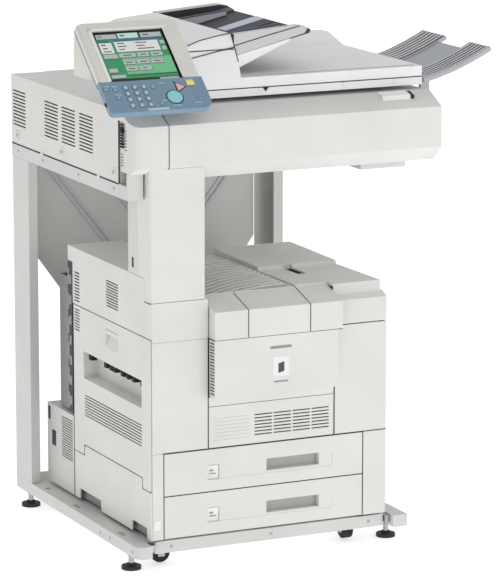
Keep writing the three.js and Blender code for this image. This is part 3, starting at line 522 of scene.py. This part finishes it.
def bin_details():
    ribs, count, pitch = [], 13, 26.5
    left, right = 160, 401
    steps = 8
    def floor_at(x):
        t = (402.3 - x) / (402.3 - 158)
        return 669 - 46 * max(t, 0) ** 2.2
    xs = [left + (right - left) * i / steps for i in range(steps + 1)]
    for k in range(count):
        y = 92 + k * pitch
        top = [(x, floor_at(x) + 5.0) for x in xs]
        low = [(x, floor_at(x) - 1) for x in xs][::-1]
        ribs.append(prism("y", top + low, (y, y + 5)))
    # The ribs take the white plastic, lighter than the floor: a painted highlight where they catch the
    # front light.
    build("bin_ribs", ribs, WHITE, "frame", ease=0)
    # The strip under and between the ribs is darker grey: painted shade between the ribs.
    floor = [(x, floor_at(x) + 1.2) for x in xs] + [(x, floor_at(x) - 1) for x in xs][::-1]
    build("bin_floor_shade", [prism("y", floor, (60, 426))], BIN_FLOOR_SHADE, "frame",
          ease=0)
    build("bin_rims", [box((160, 404), (54.5, 57.5), (669.2, 671.0)),
                       box((160, 404), (429, 432), (669.2, 671.4)),
                       box((404, 408), (54.5, 432), (669.2, 671.2))], WHITE, "frame",
          ease=0.5)
    build("bin_seams", [box((409.4, 410.8), (60 + 23 * k, 74 + 23 * k), (668.2, 670.0))
                        for k in range(16)], SEAM_SHADOW, "frame", ease=0)


bin_details()


# ---------- seams between covers, drawn as painted shadow ---

def seams():
    lines = []
    def add(x, y, z):
        lines.append(box(x, y, z))
    # Front face: painted shadow in the gaps round the drawers, door and bypass tray.
    add((34, 575), (-0.4, 20), (190.6, 193.0))
    add((34, 638), (-0.4, 3), (298.8, 301.2))
    add((33.0, 35.2), (-0.4, 20), (87, 300))
    add((573.6, 575.6), (-0.4, 20), (87, 300))
    add((152.6, 155.0), (1.0, 20), (302, 574))
    add((487.4, 495.6), (4.5, 12), (302, 573))
    # Painted shadow of the door's bottom edge on the bypass tray.
    add((153, 494), (0.2, 3), (403.2, 405.2))
    add((151.4, 153.8), (-0.6, 3), (302, 574))
    # Front top cap and its neighbours.
    cap = [(-35.4, 577), (-35.4, 644.2), (52, 670.1), (52, 668), (-33, 642), (-33, 577)]
    lines.append(prism("x", cap, (243.2, 245.4)))
    lines.append(prism("x", cap, (410.2, 412.4)))
    add((492.6, 495.2), (-0.8, 12), (301, 432))
    add((155, 499), (-34.9, -20), (573.4, 575.6))
    add((153, 500), (-33.5, 0), (573.9, 575.1))
    add((499.0, 501.2), (22, 54), (577, 668))
    build("cover_seams", lines, SEAM_SHADOW, "frame", ease=0)

    # Left side: painted shadow in the gaps around the covers.
    side = [box((-0.4, 3), (0, 480), (583.2, 585.0)), box((-0.4, 3), (50, 414), (231.6, 233.6)),
            box((-0.4, 3), (3, 51), (205.2, 207.0)), box((-0.4, 3), (414, 480), (205.2, 207.0)),
            box((-0.4, 3), (49.6, 51.4), (205.2, 233.6)),
            box((-0.4, 3), (412.8, 414.8), (205.2, 233.6)),
            box((-0.4, 3), (0.4, 34), (671.4, 673.6)), box((-0.4, 3), (479, 481), (90, 584))]
    build("side_seams", side, SEAM_SHADOW, "frame", ease=0)

    # Scanner: painted shadow in the thick seam against the corner cover, and between side box and
    # rail.
    section = [(-3.8, 1001), (26.5, 964.8), (80, 964.8), (80, 1132.6), (59.6, 1132.8),
               (-3.8, 1101.4)]
    build("scanner_seam", [prism("x", section, (49.4, 51.0))], SEAM_SHADOW, "frame",
          ease=0)
    build("box_seam", [box((-45.6, -42), (82, 770), (953.6, 957.2)),
                       box((-45.3, -42), (80.2, 81.2), (957, 1130))], SEAM_SHADOW, "frame",
          ease=0)
    build("box_tabs", [box((-46.2, -42), (196, 212), (950, 960)),
                       box((-46.2, -42), (560, 576), (950, 960))], COVER, "frame",
          ease=0.5)


seams()


# ---------- fittings ----------

def screws(name, axis, places, level, radius=4.2):
    """Screw heads on a face of the fixed body, standing out towards the axis's low end."""
    profile = [(radius, level), (radius, level - 1.0), (radius * 0.6, level - 1.9)]
    heads = [turned(axis, place, profile, 16) for place in places]
    build(name, heads, STEEL, "frame", ease=0)


def door_badge():
    # Generic plain badge between two plain bars on the front door, without lettering.
    build("door_badge_rim", [box((310, 353), (-35.8, -34.8), (472, 521))], WHITE,
          "front_door", ease=0.4)
    build("door_badge", [prism("y", [(324, 480), (340, 484), (340, 508), (324, 504)],
                               (-36.4, -35.6))], BADGE, "front_door", ease=0.5)
    build("door_bars", [box((303, 360), (-35.5, -34.8), (541, 548)),
                        box((313, 351), (-35.5, -34.8), (457, 461))], EDGE_GREY, "front_door",
          ease=0.3)


def drawer_cards():
    # Drawer windows: sloped white cards.
    for name, floor in (("lower", 86.4), ("upper", 193.1)):
        card = [(5.6, floor + 29), (1.8, floor + 64), (5.9, floor + 64)]
        build(f"size_card_{name}", [prism("x", card, (152, 181))], WHITE, f"{name}_drawer",
              ease=0.3)
        build(f"card_marks_{name}", [box((157, 166), (1.0, 5.0), (floor + 50, floor + 53)),
                                     box((157, 174), (1.9, 5.0), (floor + 42, floor + 44))],
              EDGE_GREY, f"{name}_drawer", ease=0)
        build(f"grip_shadow_{name}", [box((311, 453), (17.6, 19.2), (floor + 36, floor + 65))],
              GRIP, f"{name}_drawer", ease=0)


def scanner_fittings():
    # Screws along the side rail.
    screws("rail_screws", "x", [(110, 939), (330, 939), (560, 939), (730, 939)], -44.6)
    # Three round bosses on the side box, each with a screw.
    bosses = [(y, 979) for y in (109, 435, 730)]
    build("box_bosses", [turned("x", p, [(13, -44.6), (13, -46.4), (10, -47.2)], 24)
                         for p in bosses], COVER, "frame", ease=0)
    build("boss_screws", [turned("x", p, [(5, -46.5), (5, -48.2), (3, -48.8)], 16)
                          for p in bosses], STEEL, "frame", ease=0)
    # Louvre slots of the corner cover, drawn as strips of painted shadow.
    build("corner_slots", [box((-47.4, -40.6), (52, 74), (1046 + 7 * k, 1048.6 + 7 * k))
                           for k in range(7)] +
          [box((-47.4, -40.6), (52, 74), (1086 + 7 * k, 1088.6 + 7 * k)) for k in range(3)],
          SEAM_SHADOW, "frame", ease=0)
    build("bevel_tab", [prism("x", [(32, 1117.5), (60, 1131.5), (60, 1137), (32, 1130)],
                              (640, 716))], WHITE, "frame", ease=0.8)
    build("bevel_notch", [prism("x", [(34, 1118.5), (60, 1131.5), (60, 1135), (34, 1127)],
                                (716, 728))], SEAM_SHADOW, "frame", ease=0)


def louvre_shades():
    # Dark sheets behind the louvres: painted shade seen through the slots.
    for name, place, body in (
            ("box", ((-41.5, -40.5), (235, 765), (1000, 1098)), "frame"),
            ("upper", ((4.6, 5.6), (190, 478), (590, 690)), "frame"),
            ("rear", ((3.4, 4.4), (490, 568), (168, 280)), "frame"),
            ("door", ((4.6, 5.6), (50, 415), (305, 368)), "left_door"),
            ("door_top", ((4.6, 5.6), (436, 479), (515, 578)), "left_door"),
            ("front", ((158.6, 159.6), (-31, -2), (436, 569)), "front_door"),
            ("bypass", ((275, 486), (5.4, 6.2), (319, 377)), "bypass_tray")):
        build(f"louvre_shade_{name}", [box(*place)], RUBBER, body, ease=0)


def engine_fittings():
    screws("base_screws", "y", [(60, 62), (330, 62), (600, 62)], 15.2)
    build("front_latch", [box((8, 25), (-1.2, 0.5), (110, 135))], WHITE, "frame",
          ease=0.5)

    # Column: metal strip, and a slot beside the moulded cover drawn as painted shadow.
    build("column_strip", [box((-0.6, 0.4), (74, 128), (732, 953))], RACK, "frame",
          ease=0.3)
    build("column_slot", [box((-1.0, 0.2), (96, 106), (745, 770))], SEAM_SHADOW, "frame",
          ease=0.3)

    # Recess rollers of the jam door, hanging at the top of the recess.
    build("recess_rollers", [box((6, 22), (y - 9, y + 9), (456, 474))
                             for y in (388, 291, 258, 236, 187, 155, 119, 67)], RUBBER,
          "left_door", ease=1.2)

    # Dark works behind the side covers and ports on the rear box.
    build("works_strip", [box((-1.5, 4), (484, 512), (300, 690))], DARK, "frame",
          ease=0.5)
    build("works_parts", [box((-4, 0), (486, 498), (320 + 52 * k, 344 + 52 * k))
                          for k in range(7)] +
          [box((-3, 0), (502, 510), (310 + 64 * k, 352 + 64 * k)) for k in range(6)], CHASSIS,
          "frame", ease=0.8)
    build("port", [box((-1.2, 0.5), (604, 628), (186, 226)), box((-1.2, 0.5), (640, 652), (250, 284))],
          DARK, "frame", ease=0.5)
    build("base_screws_top", [disc("z", (-26, y), 6, (77.2, 78.4), 12)
                              for y in (110, 128, 396, 414, 600)], EDGE_GREY, "frame",
          ease=0)
    build("base_plugs", [turned("x", (y, 61), [(5, -44.8), (5, -45.8), (3.5, -46.2)], 16)
                         for y in (12, 150, 210)], STEEL, "frame", ease=0)
    build("foot_brackets", [box((-4, 12), (2, 30), (56, 74)), box((642, 653), (4, 30), (56, 74))],
          STEEL, "frame", ease=1.0)
    build("tray_lines", [box((168, 262), (-0.5, 0.6), (318 + 9 * k, 319.6 + 9 * k))
                         for k in range(7)], TOP, "bypass_tray", ease=0.3)


def rack_fittings():
    # Back sheet: pressed diagonal ribs.
    def rib(a, b, width=8):
        (x0, z0), (x1, z1) = a, b
        length = math.hypot(x1 - x0, z1 - z0)
        dx, dz = -(z1 - z0) / length * width / 2, (x1 - x0) / length * width / 2
        return prism("y", [(x0 - dx, z0 - dz), (x1 - dx, z1 - dz), (x1 + dx, z1 + dz),
                           (x0 + dx, z0 + dz)], (762.2, 766))
    lines = []
    for shift in (0, 16):
        lines += [rib((30 + shift, 905), (300 + shift, 560)),
                  rib((160 + shift, 905), (330 + shift, 690)),
                  rib((620 - shift, 905), (350 - shift, 560)),
                  rib((490 - shift, 905), (330 - shift, 690))]
    build("panel_ribs", lines, BACK_SHEET, "frame", ease=1.2)

    # Levelling feet: steel stems with a collar.
    for name, x, y in (("front_left", -20, 76), ("rear_left", -20, 732),
                       ("front_right", 680, 76), ("rear_right", 680, 732)):
        build(f"foot_stem_{name}", [turned("z", (x, y), [(7, 15), (7, 33), (6, 46)], 20)], STEEL,
              "frame", ease=0)


door_badge()
drawer_cards()
scanner_fittings()
louvre_shades()
engine_fittings()
rack_fittings()


# ---------- camera, light and floor ----------

CAMERA_AT = DESIGN @ Vector((-3342.3, -7605.0, 2409.2))
AZIMUTH, ELEVATION = math.radians(-25.174), math.radians(11.495)
FOCAL_LENGTH, SHIFT = 220.96, (0.0209, -0.0074)
# Strength of the white surround at the horizon and overhead.
HORIZON, OVERHEAD = 0.44, 0.74


def aim_camera():
    data = bpy.data.cameras.new("camera")
    data.lens = FOCAL_LENGTH
    data.sensor_width = 36
    data.shift_x, data.shift_y = SHIFT
    data.clip_end = 60
    camera = bpy.data.objects.new("camera", data)
    bpy.context.scene.collection.objects.link(camera)
    back = Vector((math.sin(AZIMUTH) * math.cos(ELEVATION),
                   -math.cos(AZIMUTH) * math.cos(ELEVATION), math.sin(ELEVATION)))
    right = Vector((0, 0, 1)).cross(back).normalized()
    up = back.cross(right)
    turn = Matrix((right, up, back)).transposed().to_4x4()
    camera.matrix_world = Matrix.Translation(CAMERA_AT) @ turn
    bpy.context.scene.camera = camera


def area_light(name, place, target, size, power, colour=(1, 1, 1)):
    data = bpy.data.lights.new(name, "AREA")
    data.shape = "RECTANGLE"
    data.size, data.size_y = size
    data.energy = power
    data.color = colour
    light = bpy.data.objects.new(name, data)
    light.location = place
    aim = Vector(target) - Vector(place)
    light.rotation_euler = aim.to_track_quat("-Z", "Y").to_euler()
    bpy.context.scene.collection.objects.link(light)


def light_studio():
    """A white surround, brighter overhead than at the horizon, with two soft boxes."""
    centre = (0, 0, 0.7)
    area_light("key", (1.6, -4.2, 1.3), centre, (2.4, 1.8), 24)
    area_light("fill", (-4.2, -1.2, 1.2), centre, (2.4, 1.8), 2)
    world = bpy.data.worlds.new("studio")
    bpy.context.scene.world = world
    world.use_nodes = True
    nodes, links = world.node_tree.nodes, world.node_tree.links
    direction = nodes.new("ShaderNodeTexCoord")
    split = nodes.new("ShaderNodeSeparateXYZ")
    links.new(direction.outputs["Generated"], split.inputs["Vector"])
    strength = between(nodes, links, split.outputs["Z"], HORIZON, OVERHEAD, 0.05, 0.6)
    background = nodes["Background"]
    background.inputs["Color"].default_value = (1, 1, 1, 1)
    links.new(strength, background.inputs["Strength"])
    bpy.context.scene.view_settings.view_transform = "Standard"


def lay_floor():
    mesh = bpy.data.meshes.new("floor")
    reach = 14.0
    mesh.from_pydata([(-reach, -reach, 0), (reach, -reach, 0), (reach, reach, 0),
                      (-reach, reach, 0)], [], [(0, 1, 2, 3)])
    floor = bpy.data.objects.new("floor", mesh)
    bpy.context.scene.collection.objects.link(floor)
    paint = finish("floor_paint", srgb(250, 250, 250), 0.8, tone=0.005, edge_highlight=0.0)
    shader = paint.node_tree.nodes["Principled BSDF"]
    shader.inputs["Emission Color"].default_value = (1, 1, 1, 1)
    shader.inputs["Emission Strength"].default_value = 0.5
    mesh.materials.append(paint)


aim_camera()
light_studio()
lay_floor()
